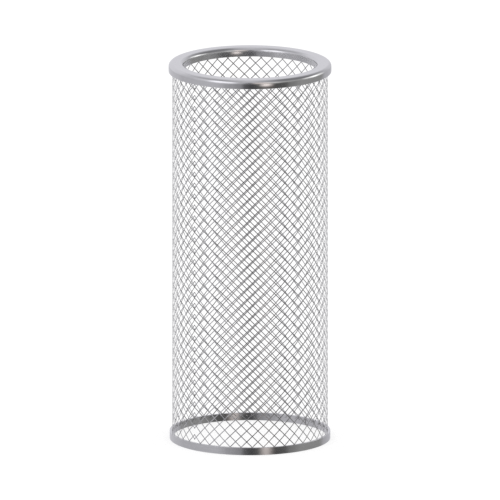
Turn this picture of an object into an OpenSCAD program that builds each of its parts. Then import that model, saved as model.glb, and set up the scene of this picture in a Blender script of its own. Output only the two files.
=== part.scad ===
// Umbrella stand: a cylinder of welded flat-wire mesh that stands on a flat steel base band
// and carries a hollow pressed rim. It is open at the top and at the bottom.
// Origin: centre of the base, on the floor. +Z is up and the front faces -Y. Millimetres and degrees.

/* [Overall] */
// Height from the floor to the top of the rim
stand_h = 500; // [360:5:560]

/* [Wire mesh] */
// Diameter of the surface on which the two layers of wire touch
mesh_d = 201.5; // [190:0.5:240]
// Width of the flat wire
wire_w = 1.2; // [0.8:0.05:1.5]
// Thickness of the flat wire
wire_t = 0.2; // [0.2:0.05:0.5]
// Whole diamonds round the cylinder
cells_round = 43; // [36:1:48]
// Part of a diamond between the seam and the next column of crossings
seam_margin = 0.2; // [0.1:0.01:0.3]
// Direction of the seam, counter-clockwise from +X seen from above
seam_angle = 224.4; // [0:0.1:360]
// Height of the lowest row of crossings that the lattice is drawn from
lattice_z = 2.35; // [1:0.01:4]
// Height of the cut lower ends of the wires
mesh_bottom = 5.6; // [4.5:0.1:7]
// Distance from the cut upper ends of the wires to the top of the rim
mesh_top_inset = 5; // [4:0.5:6]

/* [Base band and top hoop] */
// Height of the base band
band_h = 10; // [9:0.5:25]
// Thickness of the flat bar that both hoops are rolled from
band_t = 3.3; // [2.5:0.1:4]
// Play between the mesh and a hoop
hoop_play = 0.2; // [0.1:0.05:0.3]
// Radius of a hoop's edges
hoop_edge_r = 0.3; // [0.1:0.05:0.5]
// Width of the butt weld that closes a hoop
butt_weld_w = 1.6; // [1:0.1:3]

/* [Rim] */
// Height of the rim
rim_h = 12; // [9:0.5:14]
// Width of the rim, seen from above
rim_w = 19.5; // [18:0.5:26]
// Thickness of the rim's sheet
rim_sheet = 1.5; // [1.2:0.1:1.8]
// Radius of the rim's two upper edges
rim_edge_r = 4.75; // [2:0.25:5]
// Thickness of the ring that closes the rim from below
closing_t = 1.2; // [0.8:0.1:1.5]

/* [Welds] */
// Diameter of a bead that joins two wire ends at the seam
bead_d = 1.4; // [1.3:0.1:2]
// Gap between two wire ends at the seam
tip_gap = 0.7; // [0.5:0.1:0.8]
// Diameter of a spot weld between a wire and a hoop
spot_d = 1.4; // [1:0.1:2]
// Tack welds that hold the closing ring in the rim
tacks = 12; // [6:1:24]
// Length of a tack weld
tack_l = 6; // [3:0.5:10]
// Width of a tack weld on each of the two faces that it joins
tack_w = 0.7; // [0.5:0.05:0.75]

/* [Hidden] */

eps = 0.01;
mesh_r = mesh_d / 2;

// Hoops hug the outer layer of wire, and the rim cover is pressed over the top hoop.
hoop_ri = mesh_r + wire_t + hoop_play;
hoop_ro = hoop_ri + band_t;
rim_ro = hoop_ro + rim_sheet;
rim_ri = rim_ro - rim_w;
rim_z = stand_h - rim_h;
channel_ri = rim_ri + rim_sheet;
channel_top = stand_h - rim_sheet;
channel_corner_r = rim_edge_r - rim_sheet;
closing_z = rim_z + rim_sheet;
closing_play = 0.1;

// Diamonds are square, so a cell is as high as it is wide. A place on the mesh is given in cells:
// v counts round from the first column of crossings, which lies seam_margin past the seam.
cells_total = cells_round + 2 * seam_margin;
cell = 2 * PI * mesh_r / cells_total;
bottom_cell = (mesh_bottom - lattice_z) / cell;
top_cell = (stand_h - mesh_top_inset - lattice_z) / cell;

// Wires bend only at the edges of a prism with this many sides, so that both layers keep the same
// distance everywhere. Each wire is made in lengths that end a hair apart at every quarter of the prism.
mesh_sides = 32;
quarter = mesh_sides / 4;
wire_rise = wire_w * sqrt(2);
layer_gap = 0.04;
outer_layer_r = mesh_r + layer_gap / 2;
inner_layer_r = mesh_r - layer_gap / 2 - wire_t;
tip_cell = tip_gap / 2 / cell;
length_gap_cell = 0.02 / 2 / cell;

// The closing ring stops just short of the inner layer, where the prism's sides come closest to the axis.
closing_ro = inner_layer_r * cos(180 / mesh_sides) - closing_play;

// A butt weld sits opposite the seam of the mesh and takes this angle of its hoop.
weld_angle = seam_angle + 180;
weld_turn = butt_weld_w / hoop_ri * 180 / PI;

// Wire k crosses the first column at lattice_z + k cells. The numbers below are the first and last
// wire that meet the seam low down, that run from base to rim, and that leave the seam upwards.
// No wire and no length of one is shorter than this part of a cell.
shortest = 0.5;
k_low = ceil(bottom_cell - cells_round - seam_margin + shortest);
k_full = ceil(top_cell - cells_round - seam_margin);
k_seam = ceil(bottom_cell + seam_margin);
k_high = floor(top_cell + seam_margin - shortest);

$fn = 180;

// ---- Places on the mesh, in a frame whose +X axis points at the seam ----

function v_angle(v) = 360 * (v + seam_margin) / cells_total;

// Edge number i of the prism, as a place v
function edge_v(i) = i * cells_total / mesh_sides - seam_margin;

// Corner number i of the prism, at radius r
function corner(i, r) = r * [cos(360 * i / mesh_sides), sin(360 * i / mesh_sides)];

// Place v on the flat side of the prism, at corner radius r
function on_side(v, r) =
    let (turn = v_angle(v) / 360 * mesh_sides, i = floor(turn + eps / 10), part = turn - i)
    corner(i, r) * (1 - part) + corner(i + 1, r) * part;

function lattice_height(v, k) = lattice_z + cell * (v + k);

// ---- Wires ----

function wire_start(k) = max(-seam_margin + tip_cell, bottom_cell - k);
function wire_end(k) = min(cells_round + seam_margin - tip_cell, top_cell - k);

// The start of wire k, the quarters of the prism that it passes, and its end
function wire_breaks(k) =
    let (a = wire_start(k), b = wire_end(k))
    concat(
        [a],
        [for (i = [1 : 3]) let (v = edge_v(i * quarter)) if (v > a + shortest && v < b - shortest) v],
        [b]
    );

// The start of a length from a to b, each edge of the prism that it passes, and its end
function length_stops(a, b) =
    let (
        i0 = floor(v_angle(a) / 360 * mesh_sides + eps) + 1,
        i1 = ceil(v_angle(b) / 360 * mesh_sides - eps) - 1
    )
    concat([a], [for (i = [i0 : 1 : i1]) edge_v(i)], [b]);

// The lengths of wire k: the wire's number and the stops of each
function wire_lengths(k) =
    let (breaks = wire_breaks(k), last = len(breaks) - 2)
    [
        for (i = [0 : last])
            let (
                a = breaks[i] + (i > 0 ? length_gap_cell : 0),
                b = breaks[i + 1] - (i < last ? length_gap_cell : 0)
            )
            [k, length_stops(a, b)]
    ];

// The wire's cross-section at v: inner and outer foot, outer and inner head
function section(v, k, r) =
    let (inner = on_side(v, r), outer = on_side(v, r + wire_t), z = lattice_height(v, k), h = wire_rise / 2)
    [
        [inner.x, inner.y, z - h],
        [outer.x, outer.y, z - h],
        [outer.x, outer.y, z + h],
        [inner.x, inner.y, z + h]
    ];

// Triangles of one length of n sections whose first point has the number p
function length_faces(p, n) = concat(
    [[p + 3, p + 2, p + 1], [p + 3, p + 1, p]],
    [
        for (i = [0 : n - 2], j = [0 : 3])
            let (a = p + 4 * i + j, b = p + 4 * i + (j + 1) % 4)
            each [[a, b, b + 4], [a, b + 4, a + 4]]
    ],
    let (q = p + 4 * (n - 1)) [[q, q + 1, q + 2], [q, q + 2, q + 3]]
);

// Number of the first point of each length, when lengths with these numbers of stops follow each other
function first_points(counts, i = 0, sum = 0) =
    i == len(counts) ? [] : concat([sum], first_points(counts, i + 1, sum + 4 * counts[i]));

// Wires number k0 to k1 of one layer, rising to the right, with their inner faces at radius r
module wires(k0, k1, r) {
    lengths = [for (k = [k0 : k1]) each wire_lengths(k)];
    counts = [for (l = lengths) len(l[1])];
    firsts = first_points(counts);
    polyhedron(
        points = [for (l = lengths, v = l[1]) each section(v, l[0], r)],
        faces = [for (i = [0 : len(lengths) - 1]) each length_faces(firsts[i], counts[i])]
    );
}

// The outer layer rises to the right, seen from outside
module right_wires(k0, k1) {
    color("lightslategray")
        rotate(seam_angle)
            wires(k0, k1, outer_layer_r);
}

// The inner layer is the mirror image of the outer one in the plane of the seam
module left_wires(k0, k1) {
    color("slategray")
        rotate(seam_angle)
            mirror([0, 1, 0])
                wires(k0, k1, inner_layer_r);
}

// ---- Welds of the mesh ----

// A row of beads on the seam: m counts cells up from the lattice's lowest row, plus a part of a cell
module seam_bead_row(m0, m1, part) {
    for (m = [m0 : m1])
        translate([mesh_r, 0, lattice_z + cell * (m + part)])
            sphere(d = bead_d, $fn = 24);
}

module seam_weld_beads() {
    color("dimgray")
        rotate(seam_angle) {
            seam_bead_row(k_seam - 1, k_high - 1, 1 - seam_margin);
            seam_bead_row(k_low + cells_round, k_full - 1 + cells_round, seam_margin);
        }
}

// Spot welds between the outer layer of wire and a hoop, one to a cell, at the height z
module spot_welds(z) {
    part = (z - lattice_z) / cell - floor((z - lattice_z) / cell);
    color("dimgray")
        rotate(seam_angle)
            for (i = [0 : cells_round - 1]) {
                seat = on_side(i + part, outer_layer_r + wire_t);
                rotate(atan2(seat.y, seat.x))
                    translate([norm(seat), 0, z])
                        rotate([0, 90, 0])
                            cylinder(d = spot_d, h = hoop_ri - norm(seat), $fn = 24);
            }
}

// ---- Hoops ----

// The cross-section of flat bar, with rounded edges, from z0 to z1
module bar_section(z0, z1) {
    r = hoop_edge_r;
    translate([hoop_ri + r, z0])
        square([band_t - 2 * r, z1 - z0]);
    translate([hoop_ri, z0 + r])
        square([band_t, z1 - z0 - 2 * r]);
    for (x = [hoop_ri + r, hoop_ro - r], z = [z0 + r, z1 - r])
        translate([x, z])
            circle(r = r, $fn = 24);
}

// A hoop of flat bar from z0 to z1, from one angle to another
module hoop_arc(z0, z1, from, to) {
    rotate(from)
        rotate_extrude(angle = to - from)
            bar_section(z0, z1);
}

module hoop(z0, z1) {
    color("silver")
        hoop_arc(z0, z1, weld_angle + weld_turn / 2, weld_angle + 360 - weld_turn / 2);
}

module hoop_weld(z0, z1) {
    color("gray")
        hoop_arc(z0, z1, weld_angle - weld_turn / 2, weld_angle + weld_turn / 2);
}

module base_band() {
    hoop(0, band_h);
}

module base_band_weld() {
    hoop_weld(0, band_h);
}

module base_spot_welds() {
    spot_welds((mesh_bottom + band_h) / 2);
}

// The top hoop ends below the rounded corner inside the rim
module top_hoop() {
    hoop(rim_z, channel_top - channel_corner_r);
}

module top_hoop_weld() {
    hoop_weld(rim_z, channel_top - channel_corner_r);
}

module top_spot_welds() {
    spot_welds((rim_z + stand_h - mesh_top_inset) / 2);
}

// ---- Rim ----

// A rectangle from radius r0 to r1 and from z0 to z1, with its two upper corners rounded
module round_topped(r0, r1, z0, z1, round_r) {
    translate([r0, z0])
        square([r1 - r0, z1 - z0 - round_r]);
    translate([r0 + round_r, z0])
        square([r1 - r0 - 2 * round_r, z1 - z0]);
    for (r = [r0 + round_r, r1 - round_r])
        translate([r, z1 - round_r])
            circle(r = round_r, $fn = 48);
}

// A channel of sheet, open below, whose two skirts end in a full round
module rim_cover() {
    skirt_end = rim_sheet / 2;
    color("gainsboro")
        rotate_extrude() {
            difference() {
                round_topped(rim_ri, rim_ro, rim_z + skirt_end, stand_h, rim_edge_r);
                round_topped(channel_ri, hoop_ro, rim_z - 1, channel_top, channel_corner_r);
            }
            for (r = [rim_ri + skirt_end, rim_ro - skirt_end])
                translate([r, rim_z + skirt_end])
                    circle(r = skirt_end, $fn = 32);
        }
}

// Closes the channel from the inner skirt to the mesh, with a flange that stands up behind the mesh
module rim_closing_ring() {
    color("darkgray")
        rotate_extrude() {
            translate([channel_ri, closing_z])
                square([closing_ro - channel_ri, closing_t]);
            translate([closing_ro - closing_t, closing_z])
                square([closing_t, channel_top - closing_z]);
        }
}

// Short fillet welds in the corner between the inner skirt and the underside of the closing ring
module rim_tack_welds() {
    turn = tack_l / channel_ri * 180 / PI;
    color("dimgray")
        for (i = [0 : tacks - 1])
            rotate(360 * (i + 0.5) / tacks)
                rotate_extrude(angle = turn)
                    translate([channel_ri, closing_z])
                        polygon([[0, 0], [0, -tack_w], [tack_w, 0]]);
}

rim_cover();
rim_closing_ring();
rim_tack_welds();
top_hoop();
top_hoop_weld();
top_spot_welds();
right_wires(k_full, k_seam - 1);  // right_wires_base_to_rim
right_wires(k_low, k_full - 1);  // right_wires_base_to_seam
right_wires(k_seam, k_high);  // right_wires_seam_to_rim
left_wires(k_full, k_seam - 1);  // left_wires_base_to_rim
left_wires(k_low, k_full - 1);  // left_wires_base_to_seam
left_wires(k_seam, k_high);  // left_wires_seam_to_rim
seam_weld_beads();
base_band();
base_band_weld();
base_spot_welds();
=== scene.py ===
"""Looks of the umbrella stand: a cylinder of welded flat-wire diamond mesh between a flat steel base band
and a hollow pressed rim, with its studio. Metres; +Z is up and the front faces -Y."""

import math

import bmesh
import bpy
import numpy as np
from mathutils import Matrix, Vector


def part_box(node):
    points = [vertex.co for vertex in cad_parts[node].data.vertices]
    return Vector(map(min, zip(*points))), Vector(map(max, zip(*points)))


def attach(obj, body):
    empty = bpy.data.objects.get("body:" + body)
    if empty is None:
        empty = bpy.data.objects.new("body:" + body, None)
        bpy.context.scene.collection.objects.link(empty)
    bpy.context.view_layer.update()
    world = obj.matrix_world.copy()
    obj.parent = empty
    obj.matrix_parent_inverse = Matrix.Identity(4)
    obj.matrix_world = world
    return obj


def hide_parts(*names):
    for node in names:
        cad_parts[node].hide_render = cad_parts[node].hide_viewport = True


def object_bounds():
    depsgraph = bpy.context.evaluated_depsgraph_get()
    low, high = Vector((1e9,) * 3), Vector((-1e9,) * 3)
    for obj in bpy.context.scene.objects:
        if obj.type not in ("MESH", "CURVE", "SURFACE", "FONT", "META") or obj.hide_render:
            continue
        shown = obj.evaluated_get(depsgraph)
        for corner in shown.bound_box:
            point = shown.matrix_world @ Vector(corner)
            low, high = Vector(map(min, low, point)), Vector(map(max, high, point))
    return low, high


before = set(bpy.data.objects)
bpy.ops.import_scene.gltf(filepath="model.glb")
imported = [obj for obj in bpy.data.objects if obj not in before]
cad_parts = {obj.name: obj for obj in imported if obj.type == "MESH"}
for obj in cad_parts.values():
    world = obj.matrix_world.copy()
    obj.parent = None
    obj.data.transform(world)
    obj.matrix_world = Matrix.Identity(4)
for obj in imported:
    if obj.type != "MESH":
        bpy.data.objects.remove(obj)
cad_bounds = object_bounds()

BODY = "root"
MM = 0.001
TURN = 2 * math.pi

# ---- Sizes that the frame's boxes don't give ----

WIRE_W = 1.2 * MM
WIRE_T = 0.2 * MM
CELLS_ROUND = 43  # whole diamonds round the cylinder
SEAM_MARGIN = 0.2  # part of a diamond between the seam and the next column of crossings
LATTICE_Z = 2.35 * MM  # height of the lowest row of crossings that the lattice is drawn from
TIP_GAP = 0.7 * MM  # between two wire ends at the seam
SHORTEST_WIRE = 0.5  # in cells
RIM_SHEET = 1.5 * MM
RIM_EDGE_R = 4.75 * MM
SKIRT_LEAN = math.radians(4)  # that the rim's slightly bulging skirts lean at their upper and lower ends
HOOP_EDGE_R = 0.3 * MM
WELD_W = 1.6 * MM

# ---- Places worked out from the frame ----


def radii(node):
    """The least and the greatest distance of a CAD node's points from the Z axis."""
    r = [math.hypot(v.co.x, v.co.y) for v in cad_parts[node].data.vertices]
    return min(r), max(r)


def heights(node):
    """The lowest and the greatest height of a CAD node."""
    low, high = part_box(node)
    return low.z, high.z


bead_low, bead_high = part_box("seam_weld_beads")
seam_x, seam_y = (bead_low.x + bead_high.x) / 2, (bead_low.y + bead_high.y) / 2
mesh_r = math.hypot(seam_x, seam_y)
seam_angle = math.atan2(seam_y, seam_x)

wire_rise = WIRE_W * math.sqrt(2)
mesh_bottom = heights("right_wires_base_to_rim")[0] + wire_rise / 2
mesh_top = heights("right_wires_base_to_rim")[1] - wire_rise / 2

cells_total = CELLS_ROUND + 2 * SEAM_MARGIN
cell = TURN * mesh_r / cells_total
bottom_cell = (mesh_bottom - LATTICE_Z) / cell
top_cell = (mesh_top - LATTICE_Z) / cell
tip_cell = TIP_GAP / 2 / cell

# Wire k crosses the first column of crossings k cells above the lattice's lowest row. Wires from k_low end
# at the seam, wires from k_full run from base to rim, and wires from k_seam to k_high leave the seam upwards.
k_low = math.ceil(bottom_cell - CELLS_ROUND - SEAM_MARGIN + SHORTEST_WIRE)
k_full = math.ceil(top_cell - CELLS_ROUND - SEAM_MARGIN)
k_seam = math.ceil(bottom_cell + SEAM_MARGIN)
k_high = math.floor(top_cell + SEAM_MARGIN - SHORTEST_WIRE)

# ---- Meshes ----

# Edges between faces that turn by more than this stay sharp.
SHARP = math.radians(35)


def new_piece(name, points, faces, material, replaced):
    """A mesh object that rides on the body and stands for CAD nodes, with sharp edges kept sharp."""
    mesh = bpy.data.meshes.new(name)
    mesh.from_pydata(points, [], faces)
    mesh.validate()
    mesh.shade_smooth()
    mesh.set_sharp_from_angle(angle=SHARP)
    mesh.materials.append(material)
    piece = bpy.data.objects.new(name, mesh)
    bpy.context.scene.collection.objects.link(piece)
    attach(piece, BODY)
    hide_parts(*replaced)
    return piece


def even_shading(piece):
    """Keeps flat stretches flat right up to the rounds that they run into."""
    modifier = piece.modifiers.new("even_shading", "WEIGHTED_NORMAL")
    modifier.weight = 100  # the largest faces decide
    modifier.keep_sharp = True


def outward(points, faces):
    """The faces, all turned outwards."""
    bm = bmesh.new()
    vertices = [bm.verts.new(p) for p in points]
    for f in faces:
        bm.faces.new([vertices[i] for i in f])
    bm.verts.index_update()
    bmesh.ops.recalc_face_normals(bm, faces=bm.faces)
    turned = [[v.index for v in f.verts] for f in bm.faces]
    bm.free()
    return turned


def arc(x, z, r, start, end, steps):
    """Points on an arc round (x, z) from one angle to another."""
    turns = [start + (end - start) * i / steps for i in range(steps + 1)]
    return [(x + r * math.cos(t), z + r * math.sin(t)) for t in turns]


def lathe(profile, start=0.0, end=TURN, segments=240):
    """A closed outline of (radius, height) points turned about Z: a full ring, or an arc with flat ends."""
    ring = end - start > TURN - 1e-6
    stations = segments if ring else segments + 1
    n = len(profile)
    points = [
        (r * math.cos(a), r * math.sin(a), z)
        for a in (start + (end - start) * i / segments for i in range(stations))
        for r, z in profile
    ]
    faces = [
        (i * n + j, i * n + (j + 1) % n, (i + 1) % stations * n + (j + 1) % n, (i + 1) % stations * n + j)
        for i in range(segments)
        for j in range(n)
    ]
    if not ring:
        faces += [tuple(range(n)), tuple(range(segments * n, segments * n + n))]
    return points, outward(points, faces)


def skirt_profile(z0, z1):
    """The outside of a skirt of the rim, from the rim's flat top down to the full round that ends the skirt.
    Between the two it bulges slightly. Its points are (depth, height), with depth in from the widest place."""
    edge, end = RIM_EDGE_R, RIM_SHEET / 2
    bulge = ((z1 - z0 - edge - end) / math.sin(SKIRT_LEAN) + edge + end) / 2
    edge_depth = bulge - (bulge - edge) * math.cos(SKIRT_LEAN)
    end_depth = bulge - (bulge - end) * math.cos(SKIRT_LEAN)
    bulge_z = z1 - edge - (bulge - edge) * math.sin(SKIRT_LEAN)
    outline = (
        arc(-edge_depth, z1 - edge, edge, math.pi / 2, SKIRT_LEAN, 14)
        + arc(-bulge, bulge_z, bulge, SKIRT_LEAN, -SKIRT_LEAN, 8)[1:-1]
        + arc(-end_depth, z0 + end, end, -SKIRT_LEAN, -math.pi, 8)
    )
    return [(-x, z) for x, z in outline]


def rim_profile(r0, r1, z0, z1):
    """The rim's section: a channel of sheet, open below, between two skirts."""
    corner = RIM_EDGE_R - RIM_SHEET
    skirt = skirt_profile(z0, z1)
    return (
        [(r1 - depth, z) for depth, z in skirt]
        + arc(r1 - RIM_EDGE_R, z1 - RIM_EDGE_R, corner, 0, math.pi / 2, 8)
        + arc(r0 + RIM_EDGE_R, z1 - RIM_EDGE_R, corner, math.pi / 2, math.pi, 8)
        + [(r0 + depth, z) for depth, z in skirt[::-1]]
    )


def bar_profile(r0, r1, z0, z1):
    """The section of flat bar with rounded edges."""
    e = HOOP_EDGE_R
    corners = [(r1 - e, z1 - e), (r0 + e, z1 - e), (r0 + e, z0 + e), (r1 - e, z0 + e)]
    return [p for i, (r, z) in enumerate(corners) for p in arc(r, z, e, i * TURN / 4, (i + 1) * TURN / 4, 4)]


# ---- Wires ----

RINGS_PER_CELL = 4
# Half of the flat wire's section: a strip with rounded edges, as shares of half its width and thickness
WIRE_EDGE = [(1.0, 0.0), (0.97, 0.6), (0.88, 1.0)]
WIRE_SECTION = (
    WIRE_EDGE
    + [(-w, t) for w, t in WIRE_EDGE[::-1]]
    + [(-w, -t) for w, t in WIRE_EDGE[1:]]
    + [(w, -t) for w, t in WIRE_EDGE[:0:-1]]
)
WIRE_SIDES = len(WIRE_SECTION)


def wire_points(k, r):
    """Rings of points along wire k of the layer at radius r, in a frame whose X axis points at the seam."""
    start = max(tip_cell - SEAM_MARGIN, bottom_cell - k)
    end = min(CELLS_ROUND + SEAM_MARGIN - tip_cell, top_cell - k)
    rings = math.ceil((end - start) * RINGS_PER_CELL) + 1
    v = np.linspace(start, end, rings)
    turn = TURN * (v + SEAM_MARGIN) / cells_total
    zero = np.zeros_like(turn)
    out = np.stack([np.cos(turn), np.sin(turn), zero], axis=1)
    centre = r * out + np.stack([zero, zero, LATTICE_Z + cell * (v + k)], axis=1)
    along = np.stack([-np.sin(turn), np.cos(turn), zero + 1], axis=1) / math.sqrt(2)
    across = np.cross(out, along)
    section = np.array(WIRE_SECTION) * [WIRE_W / 2, WIRE_T / 2]
    points = centre[:, None] + section[None, :, :1] * across[:, None] + section[None, :, 1:] * out[:, None]
    # The sheet of mesh is cut level at its foot and head, so those ends of the wires are cut aslant.
    for i, height, cut in ((0, mesh_bottom, start > tip_cell - SEAM_MARGIN),
                           (-1, mesh_top, end < CELLS_ROUND + SEAM_MARGIN - tip_cell)):
        if cut:
            points[i] += (height - points[i, :, 2:]) / along[i, 2] * along[i]
    return points


def wires(k0, k1, layer):
    """Points and faces of wires k0 to k1: layer 1 is outside and rises to the right, layer -1 mirrors it."""
    r = mesh_r + layer * WIRE_T / 2
    points, faces, first = [], [], 0
    for k in range(k0, k1 + 1):
        rings = wire_points(k, r)
        n = len(rings)
        index = first + np.arange(n * WIRE_SIDES).reshape(n, WIRE_SIDES)
        after = np.roll(index, -1, axis=1)
        sides = np.stack([index[:-1], after[:-1], after[1:], index[1:]], axis=2).reshape(-1, 4)
        faces += sides.tolist() + [index[0, ::-1].tolist(), index[-1].tolist()]
        points.append(rings.reshape(-1, 3))
        first += n * WIRE_SIDES
    points = np.concatenate(points)
    if layer < 0:
        points[:, 1] *= -1
        faces = [f[::-1] for f in faces]
    return to_seam(points).tolist(), faces


def to_seam(points):
    """Turns points from the frame whose X axis points at the seam to the part's own frame."""
    c, s = math.cos(seam_angle), math.sin(seam_angle)
    return points @ np.array([[c, s, 0], [-s, c, 0], [0, 0, 1]])


# ---- Materials ----


class Tree:
    """Adds nodes to one node tree. A socket given as an input is linked, and anything else is set."""

    def __init__(self, tree):
        self.tree = tree
        tree.nodes.clear()

    def add(self, kind, inputs=(), **settings):
        node = self.tree.nodes.new(kind)
        for name, value in settings.items():
            setattr(node, name, value)
        for name, value in dict(inputs).items():
            if isinstance(value, bpy.types.NodeSocket):
                self.tree.links.new(value, node.inputs[name])
            else:
                node.inputs[name].default_value = value
        return node

    def math(self, operation, a, b=0.0):
        return self.add("ShaderNodeMath", {0: a, 1: b}, operation=operation).outputs[0]

    def mix(self, amount, a, b):
        """The colour a, the colour b, or a mixture."""
        return self.add("ShaderNodeMix", {0: amount, 6: a, 7: b}, data_type="RGBA").outputs[2]

    def spread(self, value, low, high, start, end):
        """Maps value from low..high to start..end, smoothly and clamped."""
        inputs = {0: value, 1: low, 2: high, 3: start, 4: end}
        return self.add("ShaderNodeMapRange", inputs, interpolation_type="SMOOTHSTEP").outputs[0]


# Slight tints of a grey
COOL = (0.985, 0.98, 1.04)
NEUTRAL = (1, 1, 1)
WARM = (1.07, 0.98, 0.95)


def grey(value, tint=NEUTRAL):
    return (value * tint[0], value * tint[1], value * tint[2], 1)


GRAIN_BREAKS = 40.0  # a metre, along the grain


def turned_steel(name, dark, light, rough, grain, mottle, bump):
    """Sheet or bar with fine grain round the Z axis. rough is its least and greatest roughness, grain and
    mottle are how many lines and clouds there are to a metre, and bump is their height."""
    material = bpy.data.materials.new(name)
    material.use_nodes = True
    t = Tree(material.node_tree)
    place = t.add("ShaderNodeTexCoord").outputs["Object"]
    x, y, z = t.add("ShaderNodeSeparateXYZ", {0: place}).outputs
    radius = t.math("SQRT", t.math("ADD", t.math("MULTIPLY", x, x), t.math("MULTIPLY", y, y)))
    across = t.math("MULTIPLY", t.math("ADD", radius, z), grain)
    lines_at = t.add("ShaderNodeCombineXYZ", {
        "X": t.math("MULTIPLY", x, GRAIN_BREAKS), "Y": t.math("MULTIPLY", y, GRAIN_BREAKS),
        "Z": across}).outputs[0]
    lines = t.add("ShaderNodeTexNoise", {"Vector": lines_at, "Scale": 1.0, "Detail": 5.0, "Roughness": 0.65})
    cloud = t.add("ShaderNodeTexNoise", {"Vector": place, "Scale": mottle, "Detail": 4.0, "Roughness": 0.6})
    both = t.math("MULTIPLY", t.math("ADD", lines.outputs[0], cloud.outputs[0]), 0.5)
    shader = t.add("ShaderNodeBsdfPrincipled", {
        "Base Color": t.mix(t.spread(both, 0.3, 0.7, 0.0, 1.0), dark, light),
        "Metallic": 1.0,
        "Roughness": t.spread(both, 0.3, 0.7, rough[0], rough[1]),
        "Anisotropic": 0.3,
        "Tangent": t.add("ShaderNodeTangent", direction_type="RADIAL", axis="Z").outputs[0],
        "Normal": t.add("ShaderNodeBump", {"Strength": 0.5, "Distance": bump, "Height": both}).outputs[0]})
    t.add("ShaderNodeOutputMaterial", {"Surface": shader.outputs[0]})
    return material


def rolled_wire(name, dark, light):
    """Bright flat wire, fairly smooth from the rolls, with small dull patches."""
    material = bpy.data.materials.new(name)
    material.use_nodes = True
    t = Tree(material.node_tree)
    place = t.add("ShaderNodeTexCoord").outputs["Object"]
    patches = t.add("ShaderNodeTexNoise", {"Vector": place, "Scale": 120.0, "Detail": 3.0}).outputs[0]
    fine = t.add("ShaderNodeTexNoise", {"Vector": place, "Scale": 2500.0, "Detail": 3.0}).outputs[0]
    shader = t.add("ShaderNodeBsdfPrincipled", {
        "Base Color": t.mix(t.spread(patches, 0.3, 0.7, 0.0, 1.0), dark, light),
        "Metallic": 1.0,
        "Roughness": t.spread(fine, 0.3, 0.7, 0.22, 0.4),
        "Normal": t.add("ShaderNodeBump", {"Strength": 0.4, "Distance": 4e-6, "Height": fine}).outputs[0]})
    t.add("ShaderNodeOutputMaterial", {"Surface": shader.outputs[0]})
    return material


def weld_metal(name, dark, light):
    """Dull, slightly scaly weld metal with a brown tint from the heat in places."""
    material = bpy.data.materials.new(name)
    material.use_nodes = True
    t = Tree(material.node_tree)
    place = t.add("ShaderNodeTexCoord").outputs["Object"]
    scale = t.add("ShaderNodeTexNoise", {"Vector": place, "Scale": 900.0, "Detail": 4.0}).outputs[0]
    shader = t.add("ShaderNodeBsdfPrincipled", {
        "Base Color": t.mix(t.spread(scale, 0.35, 0.7, 0.0, 1.0), dark, light),
        "Metallic": 1.0,
        "Roughness": t.spread(scale, 0.3, 0.7, 0.35, 0.6),
        "Normal": t.add("ShaderNodeBump", {"Strength": 0.6, "Distance": 3e-5, "Height": scale}).outputs[0]})
    t.add("ShaderNodeOutputMaterial", {"Surface": shader.outputs[0]})
    return material


RIM_STEEL = turned_steel(
    "polished_sheet", grey(0.76), grey(0.83), rough=(0.07, 0.12), grain=1500.0, mottle=260.0, bump=1.5e-6)
BAND_STEEL = turned_steel(
    "band_steel", grey(0.7), grey(0.82), rough=(0.09, 0.15), grain=1200.0, mottle=400.0, bump=2.5e-6)
HIDDEN_STEEL = turned_steel(
    "hidden_steel", grey(0.5), grey(0.62), rough=(0.3, 0.45), grain=900.0, mottle=200.0, bump=1e-5)
WIRE_STEEL = rolled_wire("wire_steel", grey(0.5), grey(0.66))
WELD_METAL = weld_metal("weld_metal", grey(0.25, WARM), grey(0.45))

# ---- Pieces ----


def build_rim():
    r0, r1 = radii("rim_cover")
    z0, z1 = heights("rim_cover")
    points, faces = lathe(rim_profile(r0, r1, z0, z1))
    even_shading(new_piece("pressed_rim", points, faces, RIM_STEEL, ["rim_cover"]))


def build_hoop(name, node, weld, material):
    """A hoop of flat bar and the butt weld, ground flush, that closes it opposite the mesh's seam."""
    r0, r1 = radii(node)
    z0, z1 = heights(node)
    half_weld = WELD_W / 2 / r0
    middle = seam_angle + TURN / 2
    profile = bar_profile(r0, r1, z0, z1)
    points, faces = lathe(profile, middle + half_weld, middle + TURN - half_weld)
    even_shading(new_piece(name, points, faces, material, [node]))
    points, faces = lathe(profile, middle - half_weld, middle + half_weld, segments=4)
    even_shading(new_piece(name + "_butt_weld", points, faces, WELD_METAL, [weld]))


def build_mesh():
    groups = [
        ("base_to_rim", k_full, k_seam - 1),
        ("base_to_seam", k_low, k_full - 1),
        ("seam_to_rim", k_seam, k_high),
    ]
    for side, layer in (("right", 1), ("left", -1)):
        for group, k0, k1 in groups:
            points, faces = wires(k0, k1, layer)
            name = f"{side}_flat_wires_{group}"
            new_piece(name, points, faces, WIRE_STEEL, [f"{side}_wires_{group}"])


def finish_cad_nodes():
    """The pieces whose CAD shape is right get their material."""
    finishes = {
        HIDDEN_STEEL: ["rim_closing_ring"],
        WELD_METAL: ["rim_tack_welds", "top_spot_welds", "base_spot_welds", "seam_weld_beads"],
    }
    for material, names in finishes.items():
        for name in names:
            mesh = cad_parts[name].data
            mesh.materials.clear()
            mesh.materials.append(material)


build_rim()
build_hoop("base_hoop", "base_band", "base_band_weld", BAND_STEEL)
build_hoop("hidden_top_hoop", "top_hoop", "top_hoop_weld", HIDDEN_STEEL)
build_mesh()
finish_cad_nodes()

# ---- Studio ----

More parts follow.
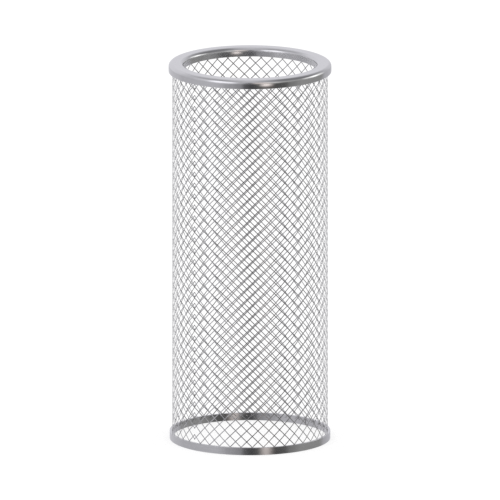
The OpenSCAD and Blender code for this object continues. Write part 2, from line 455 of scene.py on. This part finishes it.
# What steel sees all round the studio, in three bands: (degrees from the front towards +X, brightness,
# tint). In the lowest band, just below the horizon, the front is dark.
WALLS = [
    (-180, 0.7, COOL), (-150, 0.6, COOL), (-128, 0.56, COOL), (-110, 0.5, COOL), (-50, 0.52, COOL),
    (-28, 0.36, COOL), (-14, 0.29, COOL), (-7, 0.11, COOL), (2, 0.07, COOL), (12, 0.1, NEUTRAL),
    (23, 0.16, WARM), (30, 0.12, WARM), (38, 0.085, NEUTRAL), (50, 0.1, NEUTRAL), (62, 0.22, NEUTRAL),
    (80, 0.295, NEUTRAL), (120, 0.29, NEUTRAL), (135, 0.47, COOL), (155, 0.52, COOL), (180, 0.66, COOL),
]
# A small lamp in front of that band: how much of it is seen round the studio, and its heights in degrees
LAMP = [(10, 0.0, NEUTRAL), (23, 1.0, NEUTRAL), (36, 0.0, NEUTRAL)]
LAMP_FOOT, LAMP_MIDDLE, LAMP_HEAD = -16.5, -8.5, -4.0
LAMP_LIGHT = grey(1.12, WARM)
# The bright band above the horizon, with lamps at the front left and on the right
HORIZON = [
    (-180, 0.73, COOL), (-140, 0.73, COOL), (-95, 0.56, COOL), (-70, 0.64, COOL), (-48, 1.2, COOL),
    (-30, 1.05, COOL), (-14, 0.5, COOL), (0, 0.24, COOL), (12, 0.6, WARM), (22, 0.8, WARM),
    (34, 0.6, NEUTRAL), (50, 0.38, NEUTRAL), (76, 0.36, NEUTRAL), (90, 0.9, NEUTRAL), (104, 1.5, NEUTRAL),
    (118, 0.9, NEUTRAL), (132, 0.5, COOL), (160, 0.64, COOL), (180, 0.73, COOL),
]
# The upper walls and the ceiling, darkest over the right side
CEILING = [
    (-180, 0.7, COOL), (-150, 0.6, COOL), (-105, 0.44, COOL), (-60, 0.4, COOL), (-25, 0.5, COOL),
    (0, 0.56, COOL), (25, 0.45, COOL), (60, 0.24, COOL), (105, 0.2, COOL), (150, 0.4, COOL),
    (180, 0.7, COOL),
]
ZENITH = grey(0.6, COOL)
BELOW = grey(0.9)
# The heights in degrees between which one gives way to the next
BELOW_TO_WALLS = (-60.0, -40.0)
WALLS_TO_HORIZON = (-9.0, 1.0)
HORIZON_TO_CEILING = (24.0, 42.0)
CEILING_TO_ZENITH = (66.0, 82.0)
CEILING_SLOPE = 12.0  # degrees that the ceiling begins higher on the left and lower on the right
WHITE_ROOM = grey(1.12)  # what everything but steel sees
# The floor glows, so that the stand leaves only a faint shade on it.
FLOOR_LIT = grey(0.3)
FLOOR_GLOW = grey(0.72)
FLOOR_HALF = 6.0


def round_ramp(t, turn, stops):
    """A colour that changes round the studio. turn runs from 0 to 1, and is 0.5 at the front."""
    node = t.add("ShaderNodeValToRGB", {0: turn})
    ramp = node.color_ramp
    ramp.interpolation = "EASE"
    while len(ramp.elements) < len(stops):
        ramp.elements.new(0.5)
    for element, (degrees, brightness, tint) in zip(ramp.elements, stops):
        element.position = (degrees + 180) / 360
        element.color = grey(brightness, tint)
    return node.outputs[0]


def build_world():
    """Steel reflects a soft studio; everything else is lit and backed by plain white."""
    world = bpy.data.worlds.new("studio")
    bpy.context.scene.world = world
    world.use_nodes = True
    world.cycles.sampling_method = "NONE"
    t = Tree(world.node_tree)
    way = t.add("ShaderNodeTexCoord").outputs["Generated"]
    x, y, z = t.add("ShaderNodeSeparateXYZ", {0: way}).outputs
    turn = t.math("ARCTAN2", x, t.math("MULTIPLY", y, -1.0))
    turn = t.math("ADD", t.math("DIVIDE", turn, TURN), 0.5)
    rise = t.math("DEGREES", t.math("ARCSINE", z))
    colour = t.mix(t.spread(rise, *BELOW_TO_WALLS, 0.0, 1.0), BELOW, round_ramp(t, turn, WALLS))
    lamp_here = t.math("MULTIPLY", t.spread(rise, LAMP_FOOT, LAMP_MIDDLE, 0.0, 1.0),
                       t.spread(rise, LAMP_MIDDLE, LAMP_HEAD, 1.0, 0.0))
    colour = t.mix(t.math("MULTIPLY", lamp_here, round_ramp(t, turn, LAMP)), colour, LAMP_LIGHT)
    colour = t.mix(t.spread(rise, *WALLS_TO_HORIZON, 0.0, 1.0), colour, round_ramp(t, turn, HORIZON))
    sloped = t.math("ADD", rise, t.math("MULTIPLY", x, CEILING_SLOPE))
    colour = t.mix(t.spread(sloped, *HORIZON_TO_CEILING, 0.0, 1.0), colour, round_ramp(t, turn, CEILING))
    colour = t.mix(t.spread(rise, *CEILING_TO_ZENITH, 0.0, 1.0), colour, ZENITH)
    steel_sees = t.add("ShaderNodeLightPath").outputs["Is Glossy Ray"]
    colour = t.mix(steel_sees, WHITE_ROOM, colour)
    background = t.add("ShaderNodeBackground", {"Color": colour, "Strength": 1.0})
    t.add("ShaderNodeOutputWorld", {"Surface": background.outputs[0]})


def build_floor():
    """A pale floor that steel doesn't reflect."""
    mesh = bpy.data.meshes.new("floor")
    half, level = FLOOR_HALF, cad_bounds[0].z
    corners = [(-half, -half, level), (half, -half, level), (half, half, level), (-half, half, level)]
    mesh.from_pydata(corners, [], [(0, 1, 2, 3)])
    material = bpy.data.materials.new("pale_floor")
    material.use_nodes = True
    t = Tree(material.node_tree)
    lit = t.add("ShaderNodeBsdfDiffuse", {"Color": FLOOR_LIT}).outputs[0]
    glow = t.add("ShaderNodeEmission", {"Color": FLOOR_GLOW, "Strength": 1.0}).outputs[0]
    t.add("ShaderNodeOutputMaterial", {"Surface": t.add("ShaderNodeAddShader", {0: lit, 1: glow}).outputs[0]})
    mesh.materials.append(material)
    floor = bpy.data.objects.new("floor", mesh)
    bpy.context.scene.collection.objects.link(floor)
    floor.visible_glossy = False


CAMERA_TILT = math.radians(12.854)
CAMERA_AWAY = 3.0
VIEW_WIDTH = 0.65


def build_camera():
    """Looks along +Y and slightly down at the middle of the stand, with no perspective."""
    middle = (cad_bounds[0].z + cad_bounds[1].z) / 2
    data = bpy.data.cameras.new("camera")
    data.type = "ORTHO"
    data.ortho_scale = VIEW_WIDTH
    data.clip_end = 50
    camera = bpy.data.objects.new("camera", data)
    camera.location = (0, -CAMERA_AWAY * math.cos(CAMERA_TILT), middle + CAMERA_AWAY * math.sin(CAMERA_TILT))
    camera.rotation_euler = (math.pi / 2 - CAMERA_TILT, 0, 0)
    bpy.context.scene.collection.objects.link(camera)
    bpy.context.scene.camera = camera


build_world()
build_floor()
build_camera()
bpy.context.scene.view_settings.view_transform = "Standard"
# Denoising would smear the fine mesh.
bpy.context.scene.cycles.use_denoising = False
